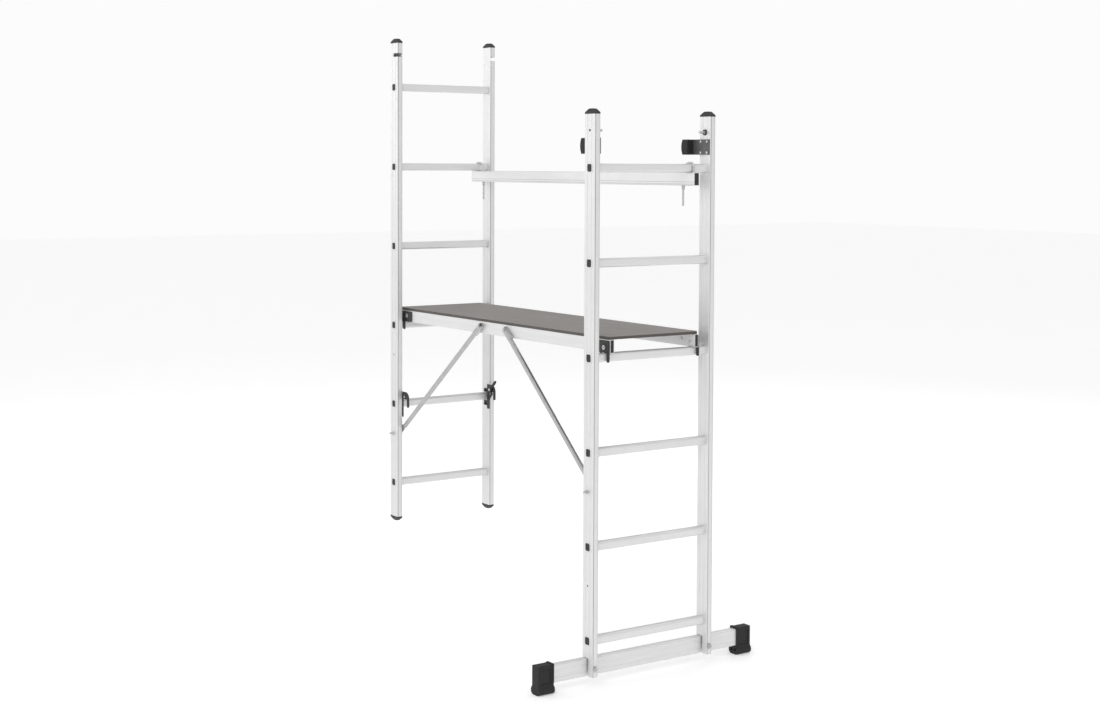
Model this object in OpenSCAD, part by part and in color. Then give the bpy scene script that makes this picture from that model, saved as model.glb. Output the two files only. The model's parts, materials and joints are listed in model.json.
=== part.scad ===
// Combination ladder scaffold: two six-rung aluminium ladders, a platform hooked on
// their rungs, two diagonal braces and a guard rail. The lower ladder stands on a
// stabiliser bar; the upper ladder hangs one rung higher for work on a stair.
// Frame: +X runs from the upper ladder to the base ladder, +Y from the braced side to
// the guard rail side, +Z up. The origin is on the floor under the middle of the box.

/* [Ladders] */
// Distance between rungs
rung_pitch = 280; // [260:1:300]
// Distance between the two ladders along X, centre to centre
ladder_span = 1218; // [1100:1:1300]
// Width of the base ladder, from stile centre to stile centre
base_width = 436; // [430:1:480]
// Width of the upper ladder, which nests inside the base ladder
upper_width = 385; // [365:1:388]
// Size of a stile across X
stile_depth = 51; // [48:1:56]
// Size of a stile across Y
stile_thick = 20; // [18:0.5:22]
// Wall thickness of the stile tube
stile_wall = 1.6; // [1.2:0.1:2.5]
// Size of a rung across X
rung_depth = 25; // [24:1:28]
// Height of a rung
rung_height = 26; // [24:1:28]

/* [Heights] */
// Height of the base ladder's lowest rung above the floor
first_rung_z = 135; // [130:1:150]
// Distance from a base stile's lowest rung to its lower end
base_tail = 105; // [102:1:108]
// Distance from a base stile's top rung to its upper end
base_head = 158; // [150:1:180]
// Distance from an upper stile's lowest rung to its lower end
upper_tail = 121; // [100:1:140]
// Distance from an upper stile's top rung to its upper end
upper_head = 155; // [150:1:180]
// Height of an end cap outside its stile
cap_rise = 16; // [10:1:20]

/* [Stabiliser] */
// Overall width over the two rubber feet
stabiliser_span = 810; // [760:2:900]
// Height of the stabiliser bar
bar_height = 53; // [48:1:56]
// Thickness of the stabiliser bar
bar_depth = 25; // [20:1:28]
// Length of a rubber foot along the bar
foot_length = 55; // [50:1:70]
// Height of the bar above the floor
bar_clearance = 29; // [28:1:32]

/* [Platform] */
// Width of the board
board_width = 336; // [320:1:340]
// Thickness of the board
board_thick = 9; // [8:0.5:12]
// Height of a side rail
rail_height = 40; // [38:1:45]
// Thickness of a side rail
rail_thick = 15; // [14:0.5:20]
// Distance that the board stands past each rung's centre line
platform_overhang = 20; // [16:1:24]

/* [Braces] */
// Distance between the two upper brace pivots
pivot_spacing = 152; // [120:2:200]
// Distance from a base rung down to the brace bolt below it
base_brace_drop = 115; // [90:1:130]
// Distance from an upper ladder rung down to the brace bolt below it
upper_brace_drop = 105; // [90:1:130]
// Height of the brace tube's section
brace_height = 14; // [12:0.5:16]
// Thickness of the brace tube's section, across Y
brace_thick = 12; // [10:0.5:12.5]

/* [Guard rail] */
// Distance of the guard rail from the middle, along Y
guard_y = 150; // [120:1:155]
// Height of the guard rail tube
guard_height = 40; // [35:1:45]
// Thickness of the guard rail tube
guard_thick = 20; // [16:1:22]
// Distance that the tube stands past each rung's centre line
guard_overhang = 32; // [20:1:40]

/* [Hidden] */
$fn = 32;
fit = 0.1;
running = 0.3;
rung_count = 6;
rung_numbers = [1 : rung_count];
sides = [-1, 1];
front = -1;
rear = 1;

base_x = ladder_span / 2;
upper_x = -ladder_span / 2;

// Heights of the rungs, counted from the top
function base_rung_z(i) = first_rung_z + (rung_count - i) * rung_pitch;
function upper_rung_z(i) = base_rung_z(i) + rung_pitch;

base_bottom = base_rung_z(rung_count) - base_tail;
base_top = base_rung_z(1) + base_head;
upper_bottom = upper_rung_z(rung_count) - upper_tail;
upper_top = upper_rung_z(1) + upper_head;

// Faces of the stiles, measured from the middle plane
base_inner = (base_width - stile_thick) / 2;
base_outer = (base_width + stile_thick) / 2;
upper_inner = (upper_width - stile_thick) / 2;
upper_outer = (upper_width + stile_thick) / 2;
stile_front_x = stile_depth / 2;

// Stile and rung details
stile_corner = 2;
groove_width = 1.4;
groove_depth = 0.5;
edge_groove_inset = 3;
rung_wall = 1.6;
rung_corner = 6.5;
collar_lip = 2;
collar_thick = 1.5;
plug_depth = 10;
plug_recess = 1;

// Hinge pins near the top of the base ladder, and the slots that take them
frame_pin_rise = 110;
frame_pin_d = 8;
frame_pin_reach = 23;
frame_pin_shank_d = 10;
frame_pin_collar_d = 18;
frame_pin_collar_thick = 3;
slot_height = 13;
slot_length = 24.5;
slot_rise = 113;

// Guide brackets, which hold the other ladder's stile when the two are nested
guide_rise = 65;
guide_height = 47;
guide_plate = 3.5;
guide_back = 23.5;
guide_reach = 54;
guide_bend = 18;
guide_lip = 26;
guide_rivet_pitch_x = 30;
guide_rivet_pitch_z = 34;
guide_rivet_x = -1;
guide_pad_bulge = 6;
guide_pad_near = 52;
guide_pad_far = 82;

// Rung hooks on the upper ladder, level with its fifth rung
hook_rung = 5;
hook_plate = 4;
hook_slot = 28.6;
hook_slot_x = stile_front_x + 2.5;
hook_leg = 11;
hook_top = 44;
hook_round = 24;
hook_slot_top = 18.5;
hook_tail = 45;
hook_leg_drop = 9.5;
latch_x = stile_front_x + 15.5;
latch_rise = 27;
latch_plate = 3.5;
latch_gap = 0.5;
latch_pin_d = 6;
latch_width = 10;

// Stabiliser bar, let into a notch in the stiles' lower ends
bar_wall = 2;
bar_corner = 4;
bar_z = bar_clearance + bar_height / 2;
bar_x = base_x - stile_depth / 2 + bar_depth / 2;
bar_notch_play = 6;
foot_wall = 3.5;
foot_end_wall = 4;
foot_panel_depth = 1.8;
foot_base_half = 22.5;
foot_base_r = 13;
foot_core_d = 9;
foot_core_x = 8;
bar_length = stabiliser_span - 2 * foot_end_wall;
stabiliser_bolt_d = 8;

// Platform
platform_rung_base = 3;
platform_z = base_rung_z(platform_rung_base) + rung_height / 2;
rail_wall = 1.6;
rail_offset = (board_width - rail_thick) / 2;
rail_top = platform_z + rail_height;
board_length = ladder_span + 2 * platform_overhang;
rail_length = board_length + 9;
hook_plate_thick = 4.5;
platform_hook_outer = 22.5;
platform_hook_inner = 68;
platform_hook_top = 50;
platform_hook_leg = 9.5;
platform_hook_drop = 15;
platform_hook_bolts = [[0, 29], [42, 35]];
screw_count = 6;
screw_head_d = 8;
screw_head_height = 2;
screw_sink = 0.2;
crossbar_count = 3;
crossbar_pitch = 360;
crossbar_width = 25;
crossbar_height = 20;

// Braces: upper pivots on the front rail, lower ends on bolts through the front stiles.
// Each lies beside the rail at the top and leans out to its own ladder's stile.
rail_face = board_width / 2;
brace_play = 0.8;
clevis_wall = 1.5;
clevis_length = 45;
clevis_nose = 9;
clevis_depth = 10;
brace_wall = 1.5;
brace_stop = 42;
brace_pivot_z = platform_z + 23;
brace_dx = (ladder_span - pivot_spacing) / 2;
brace_y = rail_face + brace_play + clevis_wall + brace_thick / 2;
tongue_thick = 3;
tongue_width = 20;
tongue_overlap = 45;
pivot_d = 6;
brace_bolt_d = 6;
brace_nut_af = 10;
brace_nut_length = 8;
brace_bolt_tip = 17;

function stile_x(side) = side > 0 ? base_x : upper_x;
function stile_inner(side) = side > 0 ? base_inner : upper_inner;
function stile_outer(side) = side > 0 ? base_outer : upper_outer;
function brace_drop(side) = side > 0 ? base_brace_drop : upper_brace_drop;
function brace_bolt_z(side) = base_rung_z(platform_rung_base + 1) - brace_drop(side);
function brace_dz(side) = brace_pivot_z - brace_bolt_z(side);
function brace_span(side) = sqrt(brace_dx * brace_dx + brace_dz(side) * brace_dz(side));
function brace_angle(side) = atan2(brace_dz(side), brace_dx);
function tongue_y(side) = stile_inner(side) - brace_play - brace_thick / 2 + brace_wall;
function brace_lean(side) = atan2(tongue_y(side) - brace_y, brace_span(side));
function brace_reach(side) = brace_span(side) / cos(brace_lean(side));

// Guard rail
guard_wall = 1.5;
guard_top = base_rung_z(1) - rung_height / 2 - running;
guard_length = ladder_span + 2 * guard_overhang;
hook_rod_d = 6;
hook_gap = 0.3;
hook_rod_x = 33;
hook_tip_bend = rung_corner + hook_gap + hook_rod_d / 2;
hook_rod_bend = hook_rod_x - rung_depth / 2 + rung_corner;
hook_crest = rung_height / 2 + hook_gap + hook_rod_d / 2;
hook_rod_tail = 63;
hook_lip = 13;
wing_bore_gap = 0.08;
wing_height = 12;
wing_span = 25;
wing_turn = 140;

// Colours
aluminium = [0.86, 0.87, 0.88];
steel = [0.72, 0.73, 0.74];
zinc_dark = [0.30, 0.31, 0.32];
black_plastic = [0.10, 0.10, 0.11];
plywood = [0.40, 0.38, 0.36];

// ---- shared outlines and placing ----

module rounded_rect(width, height, r) {
    square([width - 2 * r, height], center = true);
    square([width, height - 2 * r], center = true);
    for (x = sides, y = sides) {
        translate([x * (width / 2 - r), y * (height / 2 - r)]) circle(r);
    }
}

module tube_outline(width, height, r, wall) {
    difference() {
        rounded_rect(width, height, r);
        rounded_rect(width - 2 * wall, height - 2 * wall, max(r - wall, 0.5));
    }
}

// Turns an outline drawn in X and Z and sweeps it along Y, about the origin.
module along_y(length) {
    rotate([90, 0, 0]) linear_extrude(length, center = true) children();
}

// Turns an outline drawn in Y and Z and sweeps it along X, about the origin.
module along_x(length) {
    rotate([90, 0, 90]) linear_extrude(length, center = true) children();
}

// Sweeps an outline drawn in X and Z from one Y to a higher one.
module between_y(from, to) {
    translate([0, (from + to) / 2, 0]) along_y(to - from) children();
}

module rod_y(d, from, to) {
    between_y(from, to) circle(d = d);
}

module hexagon(across_flats) {
    circle(d = across_flats / cos(30), $fn = 6);
}

module mirror_y(side) {
    if (side < 0) mirror([0, 1, 0]) children();
    else children();
}

module mirror_x(side) {
    if (side < 0) mirror([1, 0, 0]) children();
    else children();
}

// ---- stiles and rungs ----

module stile_outline() {
    difference() {
        tube_outline(stile_depth, stile_thick, stile_corner, stile_wall);
        for (x = sides, y = sides) {
            translate([x * stile_depth / 5, y * stile_thick / 2]) {
                square([groove_width, 2 * groove_depth], center = true);
            }
            translate([x * stile_depth / 2, y * (stile_thick / 2 - edge_groove_inset)]) {
                square([2 * groove_depth, groove_width], center = true);
            }
        }
    }
}

module rung_window() {
    along_y(2 * stile_thick) {
        rounded_rect(rung_depth + 2 * fit, rung_height + 2 * fit, rung_corner);
    }
}

// A stile with its rung windows; the children are cut out of it as well.
module stile(x, y, bottom, top, rung_heights) {
    color(aluminium) difference() {
        translate([x, y, bottom]) linear_extrude(top - bottom) stile_outline();
        for (z = rung_heights) {
            translate([x, y, z]) rung_window();
        }
        children();
    }
}

module rung_outline() {
    difference() {
        tube_outline(rung_depth, rung_height, rung_corner, rung_wall);
        for (x = [-2 : 2]) {
            translate([x * 4, rung_height / 2]) square([1.4, 0.8], center = true);
        }
    }
}

module rung_collar(y) {
    translate([0, y, 0]) along_y(collar_thick) difference() {
        rounded_rect(rung_depth + 2 * collar_lip, rung_height + 2 * collar_lip,
                     rung_corner + collar_lip);
        rounded_rect(rung_depth - rung_wall, rung_height - rung_wall, rung_corner - rung_wall / 2);
    }
}

// A rung, with the swaged collars that grip each stile's inner and outer face.
module rung(x, z, inner, outer) {
    color(aluminium) translate([x, 0, z]) {
        along_y(2 * outer + collar_thick) rung_outline();
        for (side = sides) {
            rung_collar(side * (inner - collar_thick / 2));
            rung_collar(side * (outer + collar_thick / 2));
        }
    }
}

module rung_plug_pair(x, z, outer) {
    for (side = sides) {
        translate([x, side * (outer - plug_depth / 2 + collar_thick / 2 - plug_recess), z]) {
            along_y(plug_depth) {
                rounded_rect(rung_depth - 2 * rung_wall - fit, rung_height - 2 * rung_wall - fit,
                             rung_corner - rung_wall);
            }
        }
    }
}

// A moulded cap with a hipped top and a plug that goes down inside the stile.
module end_cap() {
    rim = 4;
    plug = 18;
    color(black_plastic) {
        intersection() {
            along_y(stile_thick) polygon([
                [-stile_depth / 2, 0], [stile_depth / 2, 0], [stile_depth / 2, rim],
                [stile_depth / 4, cap_rise - 1], [stile_depth / 7, cap_rise],
                [-stile_depth / 7, cap_rise], [-stile_depth / 4, cap_rise - 1],
                [-stile_depth / 2, rim]
            ]);
            along_x(stile_depth) polygon([
                [-stile_thick / 2, 0], [stile_thick / 2, 0], [stile_thick / 2, rim + 2],
                [stile_thick / 4, cap_rise], [-stile_thick / 4, cap_rise],
                [-stile_thick / 2, rim + 2]
            ]);
        }
        translate([0, 0, -plug]) linear_extrude(plug) {
            rounded_rect(stile_depth - 2 * stile_wall - 2 * fit - 2 * groove_depth,
                         stile_thick - 2 * stile_wall - 2 * fit - 2 * groove_depth, 1.5);
        }
    }
}

// ---- base ladder ----

// A hole through a front stile for a brace bolt.
module brace_bolt_hole(side, z) {
    translate([stile_x(side), 0, z]) {
        rod_y(brace_bolt_d + 2 * fit, -stile_outer(side) - 1, -stile_inner(side) + 1);
    }
}

// Cut-out of a stile's lower end for the stabiliser bar, with one rounded corner.
module bar_notch(y) {
    r = 4;
    right = bar_depth + bar_notch_play;
    top = bar_height + fit;
    translate([base_x - stile_depth / 2, y, base_bottom]) along_y(2 * stile_thick) {
        square_between(-1, right - r, -1, top);
        square_between(-1, right, -1, top - r);
        translate([right - r, top - r]) circle(r);
    }
}

module base_stile(side) {
    y = side * base_width / 2;
    stile(base_x, y, base_bottom, base_top, [for (i = rung_numbers) base_rung_z(i)]) {
        bar_notch(y);
        translate([base_x, 0, bar_z]) rotate([0, 90, 0]) translate([0, y, 0]) {
            cylinder(h = stile_depth + 2, d = stabiliser_bolt_d + 2 * fit, center = true);
        }
        translate([base_x, 0, base_rung_z(1) + frame_pin_rise]) mirror_y(side) {
            rod_y(frame_pin_shank_d + 2 * fit, base_inner - 1, base_outer - 5);
            rod_y(frame_pin_d + 2 * fit, base_outer - 5, base_outer + 1);
        }
        if (side == front) {
            brace_bolt_hole(1, brace_bolt_z(1));
            brace_bolt_hole(1, brace_bolt_z(1) - rung_pitch);
        }
        for (x = sides, z = sides) {
            translate([base_x + guide_rivet_x + x * guide_rivet_pitch_x / 2, 0,
                       base_rung_z(1) + guide_rise + z * guide_rivet_pitch_z / 2]) {
                mirror_y(side) rod_y(4.2, base_inner - 1, base_inner + stile_wall + 1);
            }
        }
    }
}

module base_rung(i) {
    rung(base_x, base_rung_z(i), base_inner, base_outer);
}

module base_rung_plugs() {
    color(black_plastic) for (i = rung_numbers) {
        rung_plug_pair(base_x, base_rung_z(i), base_outer);
    }
}

module top_caps() {
    for (side = sides) {
        translate([base_x, side * base_width / 2, base_top]) end_cap();
        translate([upper_x, side * upper_width / 2, upper_top]) end_cap();
    }
}

// A shouldered pin in each base stile's inner wall, with a free end for the slots.
module frame_pins() {
    shoulder = base_inner - frame_pin_collar_thick;
    color(steel) for (side = sides) {
        translate([base_x, 0, base_rung_z(1) + frame_pin_rise]) mirror_y(side) {
            rod_y(frame_pin_d, base_inner - frame_pin_reach, shoulder);
            rod_y(frame_pin_shank_d, shoulder, base_outer - 6);
            rod_y(frame_pin_collar_d - 4, base_inner + stile_wall, base_inner + stile_wall + 3);
        }
    }
}

module frame_pin_collars() {
    color(black_plastic) for (side = sides) {
        translate([base_x, 0, base_rung_z(1) + frame_pin_rise]) mirror_y(side) {
            between_y(base_inner - frame_pin_collar_thick, base_inner) difference() {
                circle(d = frame_pin_collar_d);
                circle(d = frame_pin_shank_d + 2 * fit);
            }
        }
    }
}

module at_guide(side) {
    mirror_y(side) translate([base_x, 0, base_rung_z(1) + guide_rise]) children();
}

// Plan of a guide bracket: a plate on the stile's inner face, a bend and a lip.
module guide_plan() {
    x_bend = -guide_reach;
    x_lip = x_bend - guide_bend;
    y0 = base_inner;
    polygon([
        [guide_back, y0], [x_bend, y0], [x_lip, y0 - guide_bend],
        [x_lip, y0 - guide_lip], [x_lip + guide_plate, y0 - guide_lip],
        [x_lip + guide_plate, y0 - guide_bend + guide_plate * 0.4],
        [x_bend + guide_plate * 0.4, y0 - guide_plate], [guide_back, y0 - guide_plate]
    ]);
}

module guide_bracket(side) {
    color(zinc_dark) at_guide(side) difference() {
        linear_extrude(guide_height, center = true) guide_plan();
        for (x = sides, z = sides) {
            translate([guide_rivet_x + x * guide_rivet_pitch_x / 2, 0,
                       z * guide_rivet_pitch_z / 2]) {
                rod_y(4.2, base_inner - guide_plate - 1, base_inner + 1);
            }
        }
    }
}

// Plastic pads pushed over the brackets' lips, for the nested ladder to slide on.
module guide_pads() {
    half = guide_height / 2;
    curve = (half * half + guide_pad_bulge * guide_pad_bulge) / (2 * guide_pad_bulge);
    color(black_plastic) for (side = sides) {
        at_guide(side) difference() {
            between_y(base_inner - guide_lip - 1.5, base_inner - guide_plate) intersection() {
                square_between(-guide_pad_far, -guide_pad_near, -half, half);
                translate([curve - guide_pad_far, 0]) circle(curve, $fn = 96);
            }
            linear_extrude(guide_height + 2, center = true) guide_plan();
        }
    }
}

module guide_bracket_rivets() {
    color(steel) for (side = sides, x = sides, z = sides) {
        translate([base_x + guide_rivet_x + x * guide_rivet_pitch_x / 2, 0,
                   base_rung_z(1) + guide_rise + z * guide_rivet_pitch_z / 2]) mirror_y(side) {
            rod_y(4, base_inner - guide_plate, base_inner + stile_wall);
            rod_y(7.5, base_inner - guide_plate - 1.6, base_inner - guide_plate);
            rod_y(6, base_inner + stile_wall, base_inner + stile_wall + 2);
        }
    }
}

// ---- stabiliser ----

module bar_section() {
    difference() {
        tube_outline(bar_depth, bar_height, bar_corner, bar_wall);
        for (x = sides, z = sides) {
            translate([x * bar_depth / 2, z * bar_height / 5]) {
                square([2 * groove_depth, groove_width], center = true);
            }
        }
    }
}

module stabiliser_bar() {
    color(aluminium) difference() {
        translate([bar_x, 0, bar_z]) along_y(bar_length) bar_section();
        for (side = sides) {
            translate([bar_x, side * base_width / 2, bar_z]) rotate([0, 90, 0]) {
                cylinder(h = bar_depth + 2, d = stabiliser_bolt_d + 2 * fit, center = true);
            }
        }
    }
}

// End view of a foot: a sleeve round the bar above a wide, rounded tread.
module foot_section() {
    sleeve_half = bar_depth / 2 + foot_wall;
    sleeve_top = bar_clearance + bar_height + foot_wall + 1;
    shoulder = bar_clearance - 10;
    translate([0, (sleeve_top + shoulder) / 2]) {
        rounded_rect(2 * sleeve_half, sleeve_top - shoulder, 3);
    }
    translate([-foot_base_half + foot_base_r, 0]) {
        square([2 * (foot_base_half - foot_base_r), 2 * foot_base_r]);
    }
    for (side = sides) {
        translate([side * (foot_base_half - foot_base_r), foot_base_r]) circle(foot_base_r);
    }
    polygon([
        [-foot_base_half + 0.5, foot_base_r + 2], [foot_base_half - 0.5, foot_base_r + 2],
        [sleeve_half, bar_clearance - 2], [-sleeve_half, bar_clearance - 2]
    ]);
}

// Raised rim at a foot's inner end.
module foot_collar_section() {
    half = bar_depth / 2 + foot_wall + 1.5;
    bottom = bar_clearance;
    top = bar_clearance + bar_height + foot_wall + 3;
    translate([0, (top + bottom) / 2]) rounded_rect(2 * half, top - bottom, 4);
}

module stabiliser_foot(side) {
    outer_end = stabiliser_span / 2;
    inner_end = outer_end - foot_length;
    panel_x = bar_depth / 2 + foot_wall - foot_panel_depth;
    panel_top = bar_clearance + bar_height - 7;
    color(black_plastic) translate([bar_x, 0, 0]) mirror_y(side) difference() {
        union() {
            between_y(inner_end, outer_end) foot_section();
            between_y(inner_end, inner_end + 6) foot_collar_section();
        }
        for (x = sides) {
            translate([x * (panel_x + 5), 0, 0]) between_y(inner_end + 12, outer_end - 8) {
                square_between(-5, 5, bar_clearance + 2, panel_top);
            }
        }
        translate([0, 0, bar_z]) between_y(inner_end - 1, outer_end - foot_end_wall) {
            rounded_rect(bar_depth + 2 * fit, bar_height + 2 * fit, bar_corner);
        }
        for (x = sides) {
            translate([x * foot_core_x, 0, foot_base_r + 2]) {
                rod_y(foot_core_d, inner_end - 1, outer_end - foot_end_wall);
            }
        }
    }
}

module rod_x(d, from, to) {
    translate([(from + to) / 2, 0, 0]) along_x(to - from) circle(d = d);
}

// Button-head bolt with a washer on the stile's outer edge, and its threaded shank.
module stabiliser_bolts() {
    face = base_x + stile_front_x;
    back = base_x - stile_front_x;
    color(steel) for (side = sides) {
        translate([0, side * base_width / 2, bar_z]) difference() {
            union() {
                rod_x(stabiliser_bolt_d, back - 9, face + 1.5);
                rod_x(20, face, face + 1.5);
                rod_x(14, face + 1.5, face + 4.5);
                rod_x(11, face + 4.5, face + 6);
            }
            translate([face + 5, 0, 0]) along_x(4) hexagon(5);
        }
    }
}

module stabiliser_nuts() {
    back = base_x - stile_front_x;
    color(steel) for (side = sides) {
        translate([back - 3.5, side * base_width / 2, bar_z]) along_x(7) difference() {
            hexagon(13);
            circle(d = stabiliser_bolt_d + 2 * fit);
        }
    }
}

// ---- upper ladder ----

module upper_stile(side) {
    y = side * upper_width / 2;
    stile(upper_x, y, upper_bottom, upper_top, [for (i = rung_numbers) upper_rung_z(i)]) {
        translate([upper_x + stile_front_x - slot_length, 0, upper_rung_z(1) + slot_rise]) {
            mirror_y(side) between_y(upper_inner + stile_wall, upper_outer + 1) {
                circle(d = slot_height);
                translate([0, -slot_height / 2]) square([slot_length + 1, slot_height]);
            }
        }
        if (side == front) {
            brace_bolt_hole(-1, brace_bolt_z(-1));
            brace_bolt_hole(-1, brace_bolt_z(-1) + rung_pitch);
        }
        for (p = hook_bolt_places) {
            translate([upper_x + p[0], 0, upper_rung_z(hook_rung) + p[1]]) {
                mirror_y(side) rod_y(5.2, upper_inner - 1, upper_inner + stile_wall + 1);
            }
        }
    }
}

module upper_rung(i) {
    rung(upper_x, upper_rung_z(i), upper_inner, upper_outer);
}

module upper_rung_plugs() {
    color(black_plastic) for (i = rung_numbers) {
        rung_plug_pair(upper_x, upper_rung_z(i), upper_outer);
    }
}

module upper_foot_caps() {
    for (side = sides) {
        translate([upper_x, side * upper_width / 2, upper_bottom]) rotate([180, 0, 0]) end_cap();
    }
}

// Bolts of a rung hook, above and below the rung: X and Z from the rung's centre
hook_bolt_places = [[3, 21], [3, -27.5]];

module square_between(x0, x1, z0, z1) {
    translate([x0, z0]) square([x1 - x0, z1 - z0]);
}

// Side view of a rung hook, drawn from the centre of the rung beside it.
module rung_hook_outline() {
    slot_end = hook_slot_x + hook_slot;
    tip = slot_end + hook_leg;
    round_x = tip - hook_round;
    round_z = hook_top - hook_round;
    clear = rung_depth / 2 + collar_lip + running;
    ear = rung_height / 2 + collar_lip + running;
    difference() {
        union() {
            square_between(clear, round_x, 0, hook_top);
            square_between(clear, tip, 0, round_z);
            translate([round_x, round_z]) circle(hook_round);
            square_between(slot_end, tip, -hook_leg_drop + hook_leg / 2, round_z);
            translate([slot_end + hook_leg / 2, -hook_leg_drop + hook_leg / 2]) circle(d = hook_leg);
            square_between(clear, hook_slot_x, -hook_tail, hook_top);
            square_between(-6, clear + 1, ear, ear + 13);
            square_between(-6, clear + 1, -ear - 18, -ear);
        }
        square_between(hook_slot_x, slot_end, -hook_tail - 1, hook_slot_top - 3);
        square_between(hook_slot_x + 3, slot_end - 3, 0, hook_slot_top);
        for (x = [hook_slot_x + 3, slot_end - 3]) {
            translate([x, hook_slot_top - 3]) circle(3);
        }
        for (p = hook_bolt_places) {
            translate(p) circle(d = 5 + 2 * fit);
        }
        translate([latch_x, latch_rise]) circle(d = latch_pin_d + 2 * fit);
    }
}

module rung_hook(side) {
    color(zinc_dark) mirror_y(side) translate([upper_x, 0, upper_rung_z(hook_rung)]) {
        between_y(upper_inner - hook_plate, upper_inner) rung_hook_outline();
    }
}

module rung_hook_bolts() {
    color(zinc_dark) for (side = sides, p = hook_bolt_places) {
        translate([upper_x + p[0], 0, upper_rung_z(hook_rung) + p[1]]) mirror_y(side) {
            rod_y(5, upper_inner - hook_plate, upper_inner + stile_wall);
            between_y(upper_inner - hook_plate - 3.5, upper_inner - hook_plate) hexagon(9);
            rod_y(8, upper_inner + stile_wall, upper_inner + stile_wall + 3);
        }
    }
}

// A straight bar with round ends between two points.
module link(from, to, width) {
    step = to - from;
    translate(from) rotate(atan2(step[1], step[0])) {
        translate([0, -width / 2]) square([norm(step), width]);
        circle(d = width);
        translate([norm(step), 0]) circle(d = width);
    }
}

// Lever drawn from its pivot: a thumb tab above, and a catch that crosses the hook's mouth.
module latch_outline() {
    elbow = [9, -16];
    difference() {
        union() {
            circle(d = 18);
            link([0, 0], [33, 31], latch_width);
            link([0, 0], elbow, latch_width);
            link(elbow, [-8, -36], latch_width * 0.7);
        }
        circle(d = latch_pin_d + 0.1);
    }
}

module latch_lever() {
    inner = upper_inner - hook_plate - latch_gap;
    color(black_plastic) translate([upper_x + latch_x, 0, upper_rung_z(hook_rung) + latch_rise]) {
        between_y(inner - latch_plate, inner) latch_outline();
    }
}

// Headed pin through the rear hook; the front hook has the same hole closed by a rivet.
module latch_pivot() {
    inner = upper_inner - hook_plate;
    lever_face = inner - latch_gap - latch_plate;
    color(steel) translate([upper_x + latch_x, 0, upper_rung_z(hook_rung) + latch_rise]) {
        rod_y(latch_pin_d, lever_face - 1.8, upper_inner);
        rod_y(10, lever_face - 3.8, lever_face - 1.8);
        rod_y(9, upper_inner, upper_inner + 2);
        mirror([0, 1, 0]) {
            rod_y(latch_pin_d, inner - 1.8, upper_inner);
            rod_y(10, inner - 1.8, inner);
            rod_y(9, upper_inner, upper_inner + 2);
        }
    }
}

// ---- platform ----

// Places children on the axis of each board screw, level with the rails' top face.
module at_screws(side) {
    for (i = [0 : screw_count - 1]) {
        x = (i - (screw_count - 1) / 2) * board_length / (screw_count - 0.4);
        translate([x, side * rail_offset, rail_top]) children();
    }
}

module platform_board() {
    pocket = screw_head_height + screw_sink;
    color(plywood) difference() {
        translate([0, 0, rail_top]) linear_extrude(board_thick) {
            rounded_rect(board_length, board_width, 5);
        }
        for (side = sides) {
            at_screws(side) {
                translate([0, 0, -1]) cylinder(h = board_thick + 2, d = 4 + 2 * fit);
                translate([0, 0, board_thick - pocket]) {
                    cylinder(h = pocket + 1, d = screw_head_d + 2 * fit);
                }
            }
        }
    }
}

module rail_section() {
    difference() {
        tube_outline(rail_thick, rail_height, 2, rail_wall);
        for (y = sides) {
            translate([y * rail_thick / 2, 0]) square([2 * groove_depth, groove_width], center = true);
        }
    }
}

// Places children on the axis of each platform hook bolt, at one rail's middle.
module at_hook_bolts(side) {
    for (end = sides, p = platform_hook_bolts) {
        translate([end * (ladder_span / 2 - p[0]), side * rail_offset,
                   base_rung_z(platform_rung_base) + p[1]]) {
            children();
        }
    }
}

module platform_rail(side) {
    color(aluminium) difference() {
        translate([0, side * rail_offset, platform_z + rail_height / 2]) {
            along_x(rail_length) rail_section();
        }
        at_screws(side) {
            translate([0, 0, -2 * rail_wall]) cylinder(h = 3 * rail_wall, d = 4 + 2 * fit);
        }
        at_hook_bolts(side) rod_y(6 + 2 * fit, -rail_thick, rail_thick);
        if (side == front) {
            for (s = sides) {
                translate([s * pivot_spacing / 2, -rail_offset, brace_pivot_z]) {
                    rod_y(pivot_d + 2 * fit, -rail_thick, rail_thick);
                }
            }
        }
    }
}

// Push-in plug for the end of a tube lying along X, with its outer face at X = 0.
module tube_plug(thick, height, wall, depth) {
    translate([-depth / 2, 0, 0]) along_x(depth) {
        rounded_rect(thick - 2 * (wall + groove_depth + fit),
                     height - 2 * (wall + groove_depth + fit), 1.5);
    }
}

module platform_rail_plugs() {
    color(black_plastic) for (end = sides, side = sides) {
        translate([end * (rail_length / 2 - plug_recess), side * rail_offset,
                   platform_z + rail_height / 2]) {
            mirror_x(end) tube_plug(rail_thick, rail_height, rail_wall, 14);
        }
    }
}

// Side view of a platform hook, from the rung's centre, with +X towards the platform's middle.
module platform_hook_outline() {
    plate_bottom = rung_height / 2 + 1;
    mouth = rung_depth / 2 + 0.3;
    difference() {
        union() {
            translate([(platform_hook_inner - platform_hook_outer) / 2,
                       (platform_hook_top + plate_bottom) / 2]) {
                rounded_rect(platform_hook_inner + platform_hook_outer,
                             platform_hook_top - plate_bottom, 4);
            }
            for (side = sides) {
                translate([side * (mouth + platform_hook_leg / 2) , 0]) {
                    translate([0, platform_hook_leg / 2 - platform_hook_drop]) {
                        circle(d = platform_hook_leg);
                    }
                    square_between(-platform_hook_leg / 2, platform_hook_leg / 2,
                                   platform_hook_leg / 2 - platform_hook_drop, plate_bottom + 8);
                }
            }
        }
        for (p = platform_hook_bolts) {
            translate(p) circle(d = 6 + 2 * fit);
        }
    }
}

module platform_hook_pair(end) {
    color(zinc_dark) translate([end * ladder_span / 2, 0, base_rung_z(platform_rung_base)]) {
        mirror_x(-end) for (side = sides) {
            mirror_y(side) {
                between_y(rail_face, rail_face + hook_plate_thick) platform_hook_outline();
            }
        }
    }
}

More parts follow.
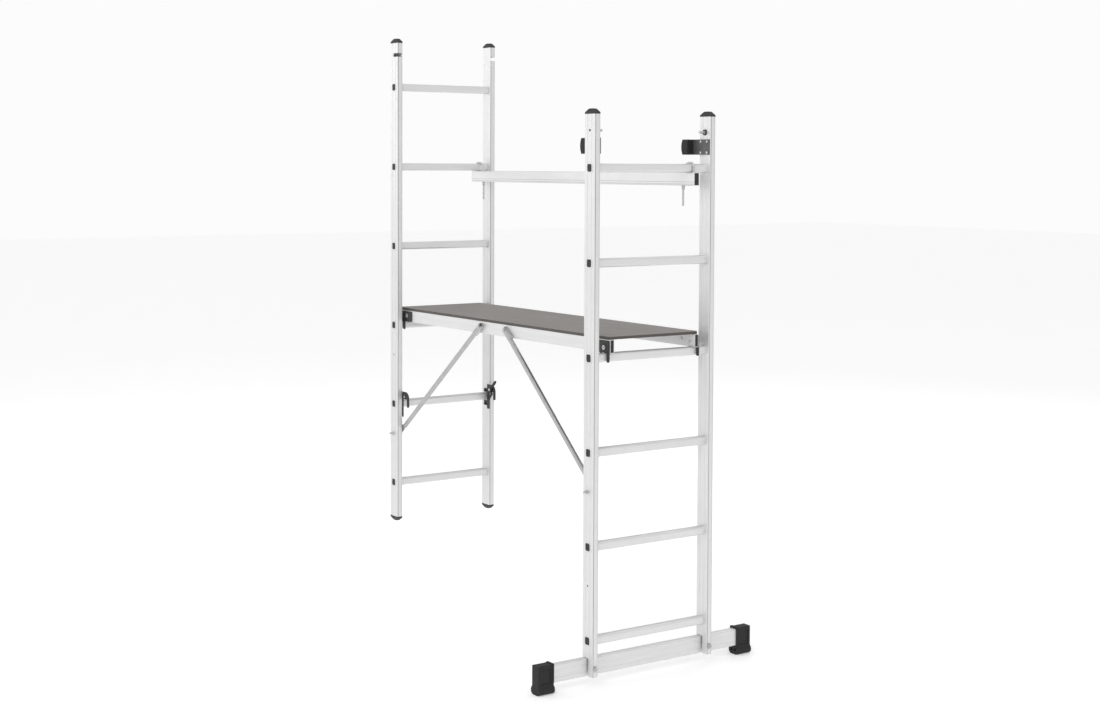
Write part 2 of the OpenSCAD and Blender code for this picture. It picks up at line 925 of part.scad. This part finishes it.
// Hollow-ended bolts through each hook plate and rail.
module platform_hook_bolts() {
    face = rail_thick / 2;
    head = face + hook_plate_thick;
    color(steel) for (side = sides) {
        at_hook_bolts(side) mirror_y(side) difference() {
            union() {
                rod_y(6, -face, head);
                rod_y(14, head, head + 2.4);
                rod_y(11, -face - 2, -face);
            }
            rod_y(4, head - 2, head + 3);
        }
    }
}

module platform_crossbars() {
    inner_gap = 2 * rail_offset - rail_thick;
    color(aluminium) for (i = [0 : crossbar_count - 1]) {
        x = (i - (crossbar_count - 1) / 2) * crossbar_pitch;
        translate([x, 0, rail_top - crossbar_height / 2]) {
            along_y(inner_gap) tube_outline(crossbar_width, crossbar_height, 2, rail_wall);
        }
    }
}

// Screws that hold the board on the rails, with their heads sunk in the board.
module platform_screws() {
    color(zinc_dark) for (side = sides) {
        at_screws(side) {
            translate([0, 0, -rail_wall]) cylinder(h = board_thick + rail_wall - screw_sink, d = 4);
            translate([0, 0, board_thick - screw_sink - screw_head_height]) {
                cylinder(h = screw_head_height, d = screw_head_d);
            }
            translate([0, 0, -rail_wall - 2]) cylinder(h = 2, d = 7);
        }
    }
}

// ---- braces ----

// Places a brace, drawn along +X from its upper pivot, at the pivot on the given side.
module at_brace_pivot(side) {
    translate([side * pivot_spacing / 2, 0, brace_pivot_z]) mirror_x(side) {
        rotate([0, brace_angle(side), 0]) children();
    }
}

// The same, but leaning out with the tube, whose middle line is then the X axis.
module on_brace(side) {
    at_brace_pivot(side) translate([0, -brace_y, 0]) rotate([0, 0, -brace_lean(side)]) children();
}

module brace_tube(side) {
    start = -clevis_nose + 2;
    end = brace_reach(side) - brace_stop;
    color(steel) difference() {
        on_brace(side) translate([(start + end) / 2, 0, 0]) along_x(end - start) {
            tube_outline(brace_thick, brace_height, 3.5, brace_wall);
        }
        at_brace_pivot(side) rod_y(pivot_d + 0.1, -brace_y - brace_thick, -brace_y + brace_thick);
    }
}

// Channel riveted round the tube's upper end, with its web against the rail.
module brace_clevis(side) {
    half = brace_height / 2 + fit;
    back = brace_thick / 2;
    color(steel) difference() {
        on_brace(side) difference() {
            between_y(back - clevis_depth, back + clevis_wall) {
                square_between(-clevis_nose, clevis_length, -half - clevis_wall, half + clevis_wall);
            }
            between_y(back - clevis_depth - 1, back + fit / 2) {
                square_between(-clevis_nose - 1, clevis_length + 1, -half, half);
            }
        }
        at_brace_pivot(side) rod_y(pivot_d + 0.1, -brace_y, -rail_face);
    }
}

// Flat end inside the tube, with a slot that lets the brace swing off its bolt.
module brace_tongue(side) {
    reach = brace_reach(side);
    front_y = -brace_thick / 2 + brace_wall + fit / 2;
    slot_half = brace_bolt_d / 2 + running;
    tail_half = brace_height / 2 - brace_wall - 1.5;
    color(steel) on_brace(side) between_y(front_y, front_y + tongue_thick) difference() {
        union() {
            square_between(reach - brace_stop - tongue_overlap, reach, -tail_half, tail_half);
            square_between(reach - brace_stop + 2, reach, -tongue_width / 2, tongue_width / 2);
            translate([reach, 0]) circle(d = tongue_width);
        }
        translate([reach, 0]) circle(slot_half);
        square_between(reach - slot_half, reach + slot_half, 0, tongue_width);
    }
}

module brace_pivots() {
    tube_face = brace_y + brace_thick / 2 + brace_play;
    rail_inner = rail_face - rail_thick;
    color(steel) for (side = sides) {
        translate([side * pivot_spacing / 2, 0, brace_pivot_z]) {
            rod_y(pivot_d, -tube_face, -rail_inner);
            rod_y(11, -tube_face - 2, -tube_face);
            rod_y(11, -rail_inner, -rail_inner + 2);
        }
    }
}

module at_brace_bolt(side) {
    translate([stile_x(side), 0, brace_bolt_z(side)]) children();
}

module brace_bolts() {
    color(steel) for (side = sides) {
        head = -stile_inner(side) + 2 * brace_play + tongue_thick;
        at_brace_bolt(side) {
            rod_y(brace_bolt_d, -stile_outer(side) - brace_bolt_tip, head);
            rod_y(14, head, head + 1.5);
            between_y(head + 1.5, head + 5.5) hexagon(10);
        }
    }
}

module brace_nut(side) {
    face = -stile_outer(side) - running;
    color(steel) at_brace_bolt(side) {
        between_y(face - brace_nut_length, face) difference() {
            hexagon(brace_nut_af);
            circle(d = brace_bolt_d + 0.16);
        }
    }
}

// ---- guard rail ----

module guard_section() {
    difference() {
        tube_outline(guard_thick, guard_height, 3, guard_wall);
        for (y = sides) {
            translate([y * guard_thick / 2, -guard_height * 0.3]) {
                square([2 * groove_depth, guard_height / 6], center = true);
            }
        }
    }
}

module guard_rail_tube() {
    color(aluminium) difference() {
        translate([0, guard_y, guard_top - guard_height / 2]) along_x(guard_length) guard_section();
        for (end = sides) {
            translate([end * (ladder_span / 2 - hook_rod_x), guard_y, guard_top - guard_height - 1]) {
                cylinder(h = guard_height + 2, d = hook_rod_d + 2 * fit);
            }
        }
    }
}

module guard_rail_plugs() {
    color(black_plastic) for (end = sides) {
        translate([end * (guard_length / 2 - plug_recess), guard_y, guard_top - guard_height / 2]) {
            mirror_x(end) tube_plug(guard_thick, guard_height, guard_wall, 20);
        }
    }
}

// Quarter ring of rod in the XZ plane, from the +X direction round to the +Z direction.
module rod_bend(r) {
    rotate([90, 0, 0]) rotate_extrude(angle = 90) translate([r, 0]) circle(d = hook_rod_d);
}

// Threaded rod that rises beside the rung, bends over it and ends in a short lip.
module guard_hook() {
    low = -rung_height / 2 - guard_height - hook_rod_tail;
    rod_bend_z = hook_crest - hook_rod_bend;
    tip_bend_z = hook_crest - hook_tip_bend;
    bend_x = rung_depth / 2 - rung_corner;
    translate([-hook_rod_x, 0, low]) cylinder(h = rod_bend_z - low, d = hook_rod_d);
    translate([-bend_x, 0, rod_bend_z]) mirror([1, 0, 0]) rod_bend(hook_rod_bend);
    translate([0, 0, hook_crest]) rod_x(hook_rod_d, -bend_x, bend_x);
    translate([bend_x, 0, tip_bend_z]) rod_bend(hook_tip_bend);
    translate([bend_x + hook_tip_bend, 0, -hook_lip]) {
        cylinder(h = tip_bend_z + hook_lip, d = hook_rod_d);
    }
}

module guard_hooks() {
    color(steel) for (end = sides) {
        translate([end * ladder_span / 2, guard_y, base_rung_z(1)]) {
            mirror_x(end) guard_hook();
        }
    }
}

module wing_nut(end) {
    top = guard_top - guard_height - running;
    wing = (wing_span - hook_rod_d) / 2 - 1;
    color(steel) {
        translate([end * (ladder_span / 2 - hook_rod_x), guard_y, top - wing_height]) difference() {
            union() {
                cylinder(h = wing_height - 2, d = 10);
                translate([0, 0, wing_height - 2]) cylinder(h = 2, d = 13);
                for (side = sides) {
                    rotate([0, 0, wing_turn + 90 * (side + 1)]) {
                        translate([(wing_span - wing) / 2, 0, 4.5]) {
                            along_y(2.6) rounded_rect(wing, 9, 3);
                        }
                    }
                }
            }
            translate([0, 0, -1]) cylinder(h = wing_height + 2, d = hook_rod_d + 2 * wing_bore_gap);
        }
    }
}

base_stile(front);  // base_stile_front
base_stile(rear);  // base_stile_rear
base_rung(1);  // base_rung_1
base_rung(2);  // base_rung_2
base_rung(3);  // base_rung_3
base_rung(4);  // base_rung_4
base_rung(5);  // base_rung_5
base_rung(6);  // base_rung_6
base_rung_plugs();
top_caps();
frame_pins();
frame_pin_collars();
guide_bracket(front);  // guide_bracket_front
guide_bracket(rear);  // guide_bracket_rear
guide_bracket_rivets();
guide_pads();
stabiliser_bar();
stabiliser_foot(front);  // stabiliser_foot_front
stabiliser_foot(rear);  // stabiliser_foot_rear
stabiliser_bolts();
stabiliser_nuts();
upper_stile(front);  // upper_stile_front
upper_stile(rear);  // upper_stile_rear
upper_rung(1);  // upper_rung_1
upper_rung(2);  // upper_rung_2
upper_rung(3);  // upper_rung_3
upper_rung(4);  // upper_rung_4
upper_rung(5);  // upper_rung_5
upper_rung(6);  // upper_rung_6
upper_rung_plugs();
upper_foot_caps();
rung_hook(front);  // rung_hook_front
rung_hook(rear);  // rung_hook_rear
rung_hook_bolts();
latch_lever();
latch_pivot();
platform_board();
platform_rail(front);  // platform_rail_front
platform_rail(rear);  // platform_rail_rear
platform_rail_plugs();
platform_hook_pair(-1);  // platform_hooks_left
platform_hook_pair(1);  // platform_hooks_right
platform_hook_bolts();
platform_crossbars();
platform_screws();
brace_tube(-1);  // brace_left_tube
brace_clevis(-1);  // brace_left_clevis
brace_tongue(-1);  // brace_left_tongue
brace_tube(1);  // brace_right_tube
brace_clevis(1);  // brace_right_clevis
brace_tongue(1);  // brace_right_tongue
brace_pivots();
brace_bolts();
brace_nut(-1);  // brace_nut_left
brace_nut(1);  // brace_nut_right
guard_rail_tube();
guard_rail_plugs();
guard_hooks();
wing_nut(-1);  // wing_nut_left
wing_nut(1);  // wing_nut_right
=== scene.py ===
"""Looks of the combination ladder scaffold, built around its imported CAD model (metres, +Z up)."""

import json
import math

import bmesh
import bpy
from mathutils import Matrix, Vector


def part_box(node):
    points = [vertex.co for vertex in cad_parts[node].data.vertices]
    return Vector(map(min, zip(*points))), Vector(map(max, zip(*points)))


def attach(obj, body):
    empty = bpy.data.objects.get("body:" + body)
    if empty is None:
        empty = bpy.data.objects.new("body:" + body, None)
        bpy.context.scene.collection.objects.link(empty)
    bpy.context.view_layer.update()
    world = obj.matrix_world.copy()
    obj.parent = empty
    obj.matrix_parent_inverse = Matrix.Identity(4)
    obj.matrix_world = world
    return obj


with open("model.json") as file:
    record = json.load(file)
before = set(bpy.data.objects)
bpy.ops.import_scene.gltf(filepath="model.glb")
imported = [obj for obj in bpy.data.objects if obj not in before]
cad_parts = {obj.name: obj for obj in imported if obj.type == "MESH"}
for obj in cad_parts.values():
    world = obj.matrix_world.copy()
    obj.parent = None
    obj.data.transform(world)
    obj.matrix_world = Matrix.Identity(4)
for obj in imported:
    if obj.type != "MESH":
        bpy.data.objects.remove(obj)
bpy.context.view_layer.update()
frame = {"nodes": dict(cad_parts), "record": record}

MM = 0.001
X, Y, Z = AXES = range(3)


# ---- node materials ----

class Surface:
    """A principled material whose colour, roughness and bump come from small node chains."""

    def __init__(self, name, metallic=0.0, specular=0.5, coat=0.0):
        self.material = bpy.data.materials.new(name)
        self.material.use_nodes = True
        self.nodes = self.material.node_tree.nodes
        self.links = self.material.node_tree.links
        self.shader = self.nodes["Principled BSDF"]
        self.shader.inputs["Metallic"].default_value = metallic
        self.shader.inputs["Specular IOR Level"].default_value = specular
        self.shader.inputs["Coat Weight"].default_value = coat
        self.shader.inputs["Coat Roughness"].default_value = 0.25
        self.coords = self.nodes.new("ShaderNodeTexCoord")
        self.last_bump = None

    def stretched(self, scale):
        """Object coordinates scaled by a factor on each axis."""
        mapping = self.nodes.new("ShaderNodeMapping")
        mapping.inputs["Scale"].default_value = scale
        self.links.new(self.coords.outputs["Object"], mapping.inputs["Vector"])
        return mapping.outputs["Vector"]

    def noise(self, scale, stretch=(1, 1, 1), detail=3.0, rough=0.55):
        node = self.nodes.new("ShaderNodeTexNoise")
        node.inputs["Scale"].default_value = scale
        node.inputs["Detail"].default_value = detail
        node.inputs["Roughness"].default_value = rough
        self.links.new(self.stretched(stretch), node.inputs["Vector"])
        return node.outputs["Fac"]

    def cells(self, scale, stretch=(1, 1, 1), feature="F1"):
        node = self.nodes.new("ShaderNodeTexVoronoi")
        node.feature = feature
        node.inputs["Scale"].default_value = scale
        self.links.new(self.stretched(stretch), node.inputs["Vector"])
        return node.outputs["Distance"]

    def math(self, operation, a, b):
        node = self.nodes.new("ShaderNodeMath")
        node.operation = operation
        for socket, value in zip(node.inputs, (a, b)):
            if hasattr(value, "is_linked"):
                self.links.new(value, socket)
            else:
                socket.default_value = value
        return node.outputs[0]

    def ramp(self, fac, stops):
        """A colour ramp through (position, colour) stops."""
        node = self.nodes.new("ShaderNodeValToRGB")
        elements = node.color_ramp.elements
        while len(elements) < len(stops):
            elements.new(0.5)
        for element, (position, colour) in zip(elements, stops):
            element.position = position
            element.color = (*colour, 1)
        self.links.new(fac, node.inputs["Fac"])
        return node.outputs["Color"]

    def span(self, fac, low, high, from_low=0.3, from_high=0.7):
        node = self.nodes.new("ShaderNodeMapRange")
        node.inputs["From Min"].default_value = from_low
        node.inputs["From Max"].default_value = from_high
        node.inputs["To Min"].default_value = low
        node.inputs["To Max"].default_value = high
        self.links.new(fac, node.inputs["Value"])
        return node.outputs["Result"]

    def mix(self, fac, a, b):
        node = self.nodes.new("ShaderNodeMix")
        node.data_type = "RGBA"
        self.links.new(fac, node.inputs["Factor"])
        for socket, value in ((node.inputs["A"], a), (node.inputs["B"], b)):
            if hasattr(value, "is_linked"):
                self.links.new(value, socket)
            else:
                socket.default_value = (*value, 1)
        return node.outputs["Result"]

    def colour(self, output):
        self.links.new(output, self.shader.inputs["Base Color"])

    def roughness(self, output):
        self.links.new(output, self.shader.inputs["Roughness"])

    def bump(self, height, depth, strength=1.0):
        """Adds a bump of a real depth on top of the bumps added before."""
        node = self.nodes.new("ShaderNodeBump")
        node.inputs["Strength"].default_value = strength
        node.inputs["Distance"].default_value = depth
        self.links.new(height, node.inputs["Height"])
        if self.last_bump:
            self.links.new(self.last_bump, node.inputs["Normal"])
        self.last_bump = node.outputs["Normal"]
        self.links.new(self.last_bump, self.shader.inputs["Normal"])

    def place(self, axis):
        """Where the surface is along one axis; a CAD node's own origin is the frame's."""
        split = self.nodes.new("ShaderNodeSeparateXYZ")
        self.links.new(self.coords.outputs["Object"], split.inputs["Vector"])
        return split.outputs[axis]

    def line(self, axis, value, half_width):
        """1 within half_width of a plane across the axis, fading to 0 at twice that distance."""
        away = self.math("ABSOLUTE", self.math("SUBTRACT", self.place(axis), value), 0.0)
        return self.span(away, 1.0, 0.0, half_width, 2 * half_width)


def grey(value, warm=0.0):
    """A grey, made slightly red and less blue by a positive warm."""
    return (value * (1 + warm), value, value * (1 - warm))


def extruded_aluminium(name, axis, grooves=()):
    """Mill-finish extrusion: die lines and streaks run along one axis, and painted shade darkens
    its grooves.

    Each groove is (across, place, face, side, width, painted_shade): the axis it is measured
    across, its place there, the axis its face points along, where that face is, its width, and how
    dark the painted shade along it is, from 0 to 1."""
    s = Surface(name, metallic=0.55, specular=0.5)
    along = [1.0, 1.0, 1.0]
    along[axis] = 0.012
    streaks = s.noise(900, along, detail=4)
    fine = s.noise(3200, along, detail=2)
    clouds = s.noise(9, detail=4, rough=0.6)
    handling = s.noise(60, detail=6, rough=0.7)
    tone = s.ramp(streaks, [(0.3, grey(0.68)), (0.5, grey(0.74)), (0.72, grey(0.78))])
    colour = s.mix(s.span(clouds, 0.0, 0.30), tone, grey(0.65, -0.004))
    # Painted shade: a dark grey line is painted along each groove, at that groove's given darkness.
    for across, place, face, side, width, painted_shade in grooves:
        on_line = s.math("MULTIPLY", s.line(across, place, width / 2), s.line(face, side, 0.5 * MM))
        colour = s.mix(s.math("MULTIPLY", on_line, painted_shade), colour, grey(0.10))
    s.colour(colour)
    base = s.span(streaks, 0.34, 0.46)
    s.roughness(s.math("ADD", base, s.span(handling, 0.0, 0.09, 0.45, 0.75)))
    s.bump(streaks, 0.05 * MM)
    s.bump(fine, 0.02 * MM)
    return s.material


def zinc_steel(name, tone=1.0):
    """Passivated zinc: soft spangle, a little darker in patches."""
    s = Surface(name, metallic=0.85, specular=0.5)
    spangle = s.cells(160, feature="SMOOTH_F1")
    patches = s.noise(28, detail=5, rough=0.65)
    stops = [(0.0, grey(0.50 * tone)), (0.5, grey(0.58 * tone)), (1.0, grey(0.68 * tone))]
    s.colour(s.mix(s.span(patches, 0.0, 0.45), s.ramp(spangle, stops), grey(0.44 * tone)))
    s.roughness(s.span(patches, 0.28, 0.44))
    s.bump(s.noise(700, detail=3), 0.02 * MM)
    return s.material


def coated_steel(name, tone):
    """Powder coat with orange peel, dusty in patches."""
    s = Surface(name, specular=0.45, coat=0.1)
    peel = s.noise(650, detail=2, rough=0.5)
    dust = s.noise(45, detail=6, rough=0.7)
    stops = [(0.35, grey(0.8 * tone)), (0.6, grey(1.1 * tone)), (0.8, grey(1.8 * tone))]
    s.colour(s.ramp(dust, stops))
    s.roughness(s.span(dust, 0.42, 0.60))
    s.bump(peel, 0.06 * MM)
    return s.material


def black_plastic():
    """Moulded plastic with a fine spark-eroded grain."""
    s = Surface("black_plastic", specular=0.42)
    grain = s.cells(1500)
    marks = s.noise(80, detail=6, rough=0.7)
    s.colour(s.ramp(marks, [(0.3, grey(0.014)), (0.6, grey(0.021)), (0.85, grey(0.040))]))
    s.roughness(s.span(marks, 0.46, 0.62))
    s.bump(grain, 0.03 * MM)
    return s.material


def rubber():
    """Moulded rubber, dusty where it has touched the ground."""
    s = Surface("rubber", specular=0.35)
    marks = s.noise(55, detail=6, rough=0.7)
    dust = s.noise(240, detail=4, rough=0.7)
    tone = s.ramp(marks, [(0.3, grey(0.012)), (0.6, grey(0.018)), (0.85, grey(0.030))])
    s.colour(s.mix(s.span(dust, 0.0, 0.25, 0.5, 0.8), tone, grey(0.055, 0.02)))
    s.roughness(s.span(marks, 0.60, 0.78))
    s.bump(dust, 0.08 * MM)
    return s.material


def film_board():
    """Film-faced plywood: a brown wire-mesh print above, dark sealed plies at the edges."""
    s = Surface("film_board", specular=0.5)
    mesh = s.cells(420, (1.0, 1.0, 0.0))
    clouds = s.noise(5, (1.0, 2.5, 1.0), detail=6, rough=0.65)
    scuffs = s.noise(26, (0.35, 1.0, 1.0), detail=7, rough=0.7)
    film = s.ramp(mesh, [(0.1, (0.155, 0.140, 0.130)), (0.6, (0.205, 0.188, 0.176))])
    worn = s.mix(s.span(scuffs, 0.0, 0.55, 0.42, 0.75), film, (0.285, 0.268, 0.255))
    top = s.mix(s.span(clouds, 0.0, 0.40, 0.35, 0.70), worn, (0.150, 0.136, 0.128))
    plies = s.noise(1, (6.0, 6.0, 700.0), detail=2)
    edge = s.ramp(plies, [(0.35, (0.050, 0.043, 0.039)), (0.65, (0.085, 0.074, 0.067))])
    top_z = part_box("platform_board")[1][2]
    face = s.span(s.place(Z), 0.0, 1.0, top_z - 1.0 * MM, top_z - 0.6 * MM)
    s.colour(s.mix(face, edge, top))
    s.roughness(s.span(scuffs, 0.42, 0.62))
    s.bump(mesh, 0.12 * MM)
    s.bump(scuffs, 0.05 * MM)
    return s.material


ALUMINIUM = [extruded_aluminium(f"aluminium_along_{'xyz'[axis]}", axis) for axis in AXES]
ZINC = zinc_steel("zinc_steel")
DULL_ZINC = zinc_steel("dull_zinc", 0.85)
BLACK_STEEL = coated_steel("black_steel", 0.020)
CHARCOAL_STEEL = coated_steel("charcoal_steel", 0.085)
BLACK_PLASTIC = black_plastic()
RUBBER = rubber()
BOARD = film_board()


def lengthwise(name):
    """The axis along which an aluminium node was extruded."""
    if "stile" in name:
        return Z
    if "rung" in name or name in ("stabiliser_bar", "platform_crossbars"):
        return Y
    return X


def stile_finish(name):
    """A stile's finish, with painted shade mostly in the grooves on the braced side's corners."""
    low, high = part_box(name)
    inset = 3.0 * MM
    # Painted shade in the corner grooves: strong near the low-Y face, faint near the high-Y face.
    edges = ((low[Y] + inset, 0.80), (high[Y] - inset, 0.15))
    grooves = [(Y, y, X, x, 1.1 * MM, painted_shade) for x in (low[X], high[X]) for y, painted_shade in edges]
    return extruded_aluminium(f"aluminium_{name}", Z, grooves)


# Heights above its lower edge of the painted shade lines along the guard rail
GUARD_RAIL_SHADE_LINES = (4.7 * MM, 11.3 * MM)


def rail_finish(name, heights):
    """A horizontal rail's finish, with painted shade in lines along its two wide faces."""
    low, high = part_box(name)
    # Painted shade: a half-dark line at each height on both wide faces.
    grooves = [(Z, low[Z] + height, Y, y, 0.8 * MM, 0.5)
               for y in (low[Y], high[Y]) for height in heights]
    return extruded_aluminium(f"aluminium_{name}", X, grooves)


# Pieces that don't have their slot's usual finish.
OWN_FINISH = {
    "guard_rail_tube": rail_finish("guard_rail_tube", GUARD_RAIL_SHADE_LINES),
    "guide_pads": RUBBER,
}
for end in ("front", "rear"):
    OWN_FINISH[f"guide_bracket_{end}"] = CHARCOAL_STEEL
    for ladder in ("base", "upper"):
        OWN_FINISH[f"{ladder}_stile_{end}"] = stile_finish(f"{ladder}_stile_{end}")
for side in ("left", "right"):
    OWN_FINISH[f"brace_{side}_tube"] = DULL_ZINC
    OWN_FINISH[f"brace_{side}_tongue"] = DULL_ZINC

FINISHES = {
    "zinc_steel": ZINC,
    "black_steel": BLACK_STEEL,
    "black_plastic": BLACK_PLASTIC,
    "rubber": RUBBER,
    "board": BOARD,
}


def edge_softening(obj, width):
    """A small rounded edge that catches the light."""
    bevel = obj.modifiers.new("edges", "BEVEL")
    bevel.width = width
    bevel.segments = 3
    bevel.limit_method = "ANGLE"
    bevel.angle_limit = math.radians(40)
    bevel.use_clamp_overlap = True
    normals = obj.modifiers.new("normals", "WEIGHTED_NORMAL")
    normals.keep_sharp = True


EDGE = {
    "aluminium": 0.25 * MM,
    "zinc_steel": 0.25 * MM,
    "black_steel": 0.5 * MM,
    "black_plastic": 0.6 * MM,
    "rubber": 1.2 * MM,
    "board": 0.8 * MM,
}

# Domed heads and moulded pieces are rounded more than the rest of their slot.
OWN_EDGE = {
    "guide_bracket_rivets": 0.9 * MM,
    "guide_pads": 1.8 * MM,
    "platform_hook_bolts": 0.7 * MM,
    "stabiliser_bolts": 0.8 * MM,
    "brace_pivots": 0.8 * MM,
    "wing_nut_left": 0.7 * MM,
    "wing_nut_right": 0.7 * MM,
    "latch_lever": 1.0 * MM,
    "top_caps": 1.2 * MM,
    "upper_foot_caps": 1.2 * MM,
}

for part in frame["record"]["subparts"]:
    name = part["node"]
    node = frame["nodes"][name]
    slot = part["material_slot"]
    finish = OWN_FINISH.get(name) or FINISHES.get(slot) or ALUMINIUM[lengthwise(name)]
    node.data.materials.clear()
    node.data.materials.append(finish)
    edge_softening(node, OWN_EDGE.get(name, EDGE[slot]))


# ---- screw threads on the hook rods and brace bolts ----

def thread(name, body, start, end, radius, pitch=1.0 * MM, depth=0.35 * MM):
    """A helical thread round a rod from one point to another, tapering to the rod at its ends."""
    start, end = Vector(start), Vector(end)
    length = (end - start).length
    turn = (end - start).to_track_quat("Z", "Y").to_matrix()
    around, per_pitch = 20, 5
    rows = round(length / pitch * per_pitch)
    bm = bmesh.new()
    rings = []
    for row in range(rows + 1):
        along = length * row / rows
        fade = min(1.0, along / pitch, (length - along) / pitch)
        ring = []
        for k in range(around):
            angle = math.tau * k / around
            phase = (along / pitch - k / around) % 1.0
            crest = 1.0 - abs(2.0 * phase - 1.0)
            r = radius - 0.1 * MM + fade * (0.12 * MM + depth * (crest - 0.5))
            around_rod = Vector((r * math.cos(angle), r * math.sin(angle), along))
            ring.append(bm.verts.new(start + turn @ around_rod))
        rings.append(ring)
    for low, high in zip(rings, rings[1:]):
        for k in range(around):
            j = (k + 1) % around
            bm.faces.new((low[k], low[j], high[j], high[k])).smooth = True
    bm.faces.new(reversed(rings[0]))
    bm.faces.new(rings[-1])
    mesh = bpy.data.meshes.new(name)
    bm.to_mesh(mesh)
    bm.free()
    mesh.materials.append(ZINC)
    piece = bpy.data.objects.new(name, mesh)
    bpy.context.scene.collection.objects.link(piece)
    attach(piece, body)


def centre(node):
    """The middle of a CAD node's box."""
    low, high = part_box(node)
    return [(a + b) / 2 for a, b in zip(low, high)]


# Radius of the hook rods and bolts, and the lengths of thread that show on them
ROD_RADIUS = 3.0 * MM
HOOK_THREAD = 49.5 * MM
BOLT_THREAD = 7.5 * MM
rod_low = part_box("guard_hooks")[0][2]
for side in ("left", "right"):
    x, y, _ = centre(f"wing_nut_{side}")
    thread(f"hook_thread_{side}", "guard_rail", (x, y, rod_low + 1.0 * MM),
           (x, y, rod_low + HOOK_THREAD), ROD_RADIUS)

for side in ("left", "right"):
    x, _, z = centre(f"brace_nut_{side}")
    nut_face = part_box(f"brace_nut_{side}")[0][1]
    thread(f"brace_bolt_thread_{side}", "frame", (x, nut_face - 0.5 * MM, z),
           (x, nut_face - BOLT_THREAD, z), ROD_RADIUS)


# ---- stage, light and camera ----

WHITE = (0.972, 0.972, 0.972)
BRIGHT_SIDE = (0.45, -0.55, 0.70)
LIGHTS_AIM = (0, 0, 1.0)
CAMERA_PLACE = (4.627, -3.119, 1.539)
CAMERA_AZIMUTH = math.radians(55.6)
CAMERA_ELEVATION = math.radians(2.26)
CAMERA_ROLL = math.radians(0.23)
CAMERA_LENS = 55.27
CAMERA_SHIFT = -0.1155


def studio_floor():
    """A pale floor with a little glow of its own, so that it fades into the background."""
    material = Surface("studio_floor", specular=0.2)
    clouds = material.noise(3, detail=3)
    material.colour(material.ramp(clouds, [(0.3, grey(0.90)), (0.7, grey(0.92))]))
    material.shader.inputs["Emission Color"].default_value = (1, 1, 1, 1)
    material.shader.inputs["Emission Strength"].default_value = 0.22
    mesh = bpy.data.meshes.new("studio_floor")
    half = 30.0
    corners = [(-half, -half, 0), (half, -half, 0), (half, half, 0), (-half, half, 0)]
    mesh.from_pydata(corners, [], [(0, 1, 2, 3)])
    mesh.materials.append(material.material)
    floor = bpy.data.objects.new("studio_floor", mesh)
    bpy.context.scene.collection.objects.link(floor)


def area_light(name, place, aim, size, power):
    """A round soft light at a place, turned towards a point."""
    light = bpy.data.lights.new(name, "AREA")
    light.shape = "DISK"
    light.size = size
    light.energy = power
    obj = bpy.data.objects.new(name, light)
    obj.location = place
    obj.rotation_euler = (Vector(aim) - Vector(place)).to_track_quat("-Z", "Y").to_euler()
    bpy.context.scene.collection.objects.link(obj)


def studio_light():
    """White surroundings for the camera; softer, directional ones for the object to reflect."""
    world = bpy.data.worlds.new("studio")
    world.use_nodes = True
    nodes, links = world.node_tree.nodes, world.node_tree.links
    seen = nodes["Background"]
    seen.inputs["Color"].default_value = (*WHITE, 1)
    coords = nodes.new("ShaderNodeTexCoord")
    facing = nodes.new("ShaderNodeVectorMath")
    facing.operation = "DOT_PRODUCT"
    facing.inputs[1].default_value = BRIGHT_SIDE
    links.new(coords.outputs["Generated"], facing.inputs[0])
    ramp = nodes.new("ShaderNodeMapRange")
    ramp.inputs["From Min"].default_value = -1.0
    ramp.inputs["To Min"].default_value = 0.60
    ramp.inputs["To Max"].default_value = 1.18
    links.new(facing.outputs["Value"], ramp.inputs["Value"])
    lit = nodes.new("ShaderNodeBackground")
    links.new(ramp.outputs["Result"], lit.inputs["Strength"])
    path = nodes.new("ShaderNodeLightPath")
    either = nodes.new("ShaderNodeMixShader")
    links.new(path.outputs["Is Camera Ray"], either.inputs["Fac"])
    links.new(lit.outputs["Background"], either.inputs[1])
    links.new(seen.outputs["Background"], either.inputs[2])
    links.new(either.outputs["Shader"], nodes["World Output"].inputs["Surface"])
    bpy.context.scene.world = world
    bpy.context.scene.view_settings.view_transform = "Standard"
    area_light("key", (3.2, -4.0, 4.5), LIGHTS_AIM, 3.0, 68)
    area_light("fill", (-4.5, -3.0, 2.5), LIGHTS_AIM, 3.0, 26)
    area_light("rim", (-2.0, 4.5, 4.0), LIGHTS_AIM, 2.5, 42)


def photo_camera():
    """The photograph's viewpoint: nearly level, with the frame shifted down on the lens."""
    back = Vector((math.sin(CAMERA_AZIMUTH) * math.cos(CAMERA_ELEVATION),
                   -math.cos(CAMERA_AZIMUTH) * math.cos(CAMERA_ELEVATION),
                   math.sin(CAMERA_ELEVATION)))
    right = Vector((math.cos(CAMERA_AZIMUTH), math.sin(CAMERA_AZIMUTH), 0))
    up = back.cross(right)
    right, up = (right * math.cos(CAMERA_ROLL) + up * math.sin(CAMERA_ROLL),
                 up * math.cos(CAMERA_ROLL) - right * math.sin(CAMERA_ROLL))
    data = bpy.data.cameras.new("camera")
    data.lens = CAMERA_LENS
    data.sensor_width = 36.0
    data.shift_y = CAMERA_SHIFT
    camera = bpy.data.objects.new("camera", data)
    camera.matrix_world = Matrix((
        (right.x, up.x, back.x, CAMERA_PLACE[X]),
        (right.y, up.y, back.y, CAMERA_PLACE[Y]),
        (right.z, up.z, back.z, CAMERA_PLACE[Z]),
        (0, 0, 0, 1),
    ))
    bpy.context.scene.collection.objects.link(camera)
    bpy.context.scene.camera = camera


studio_floor()
studio_light()
photo_camera()
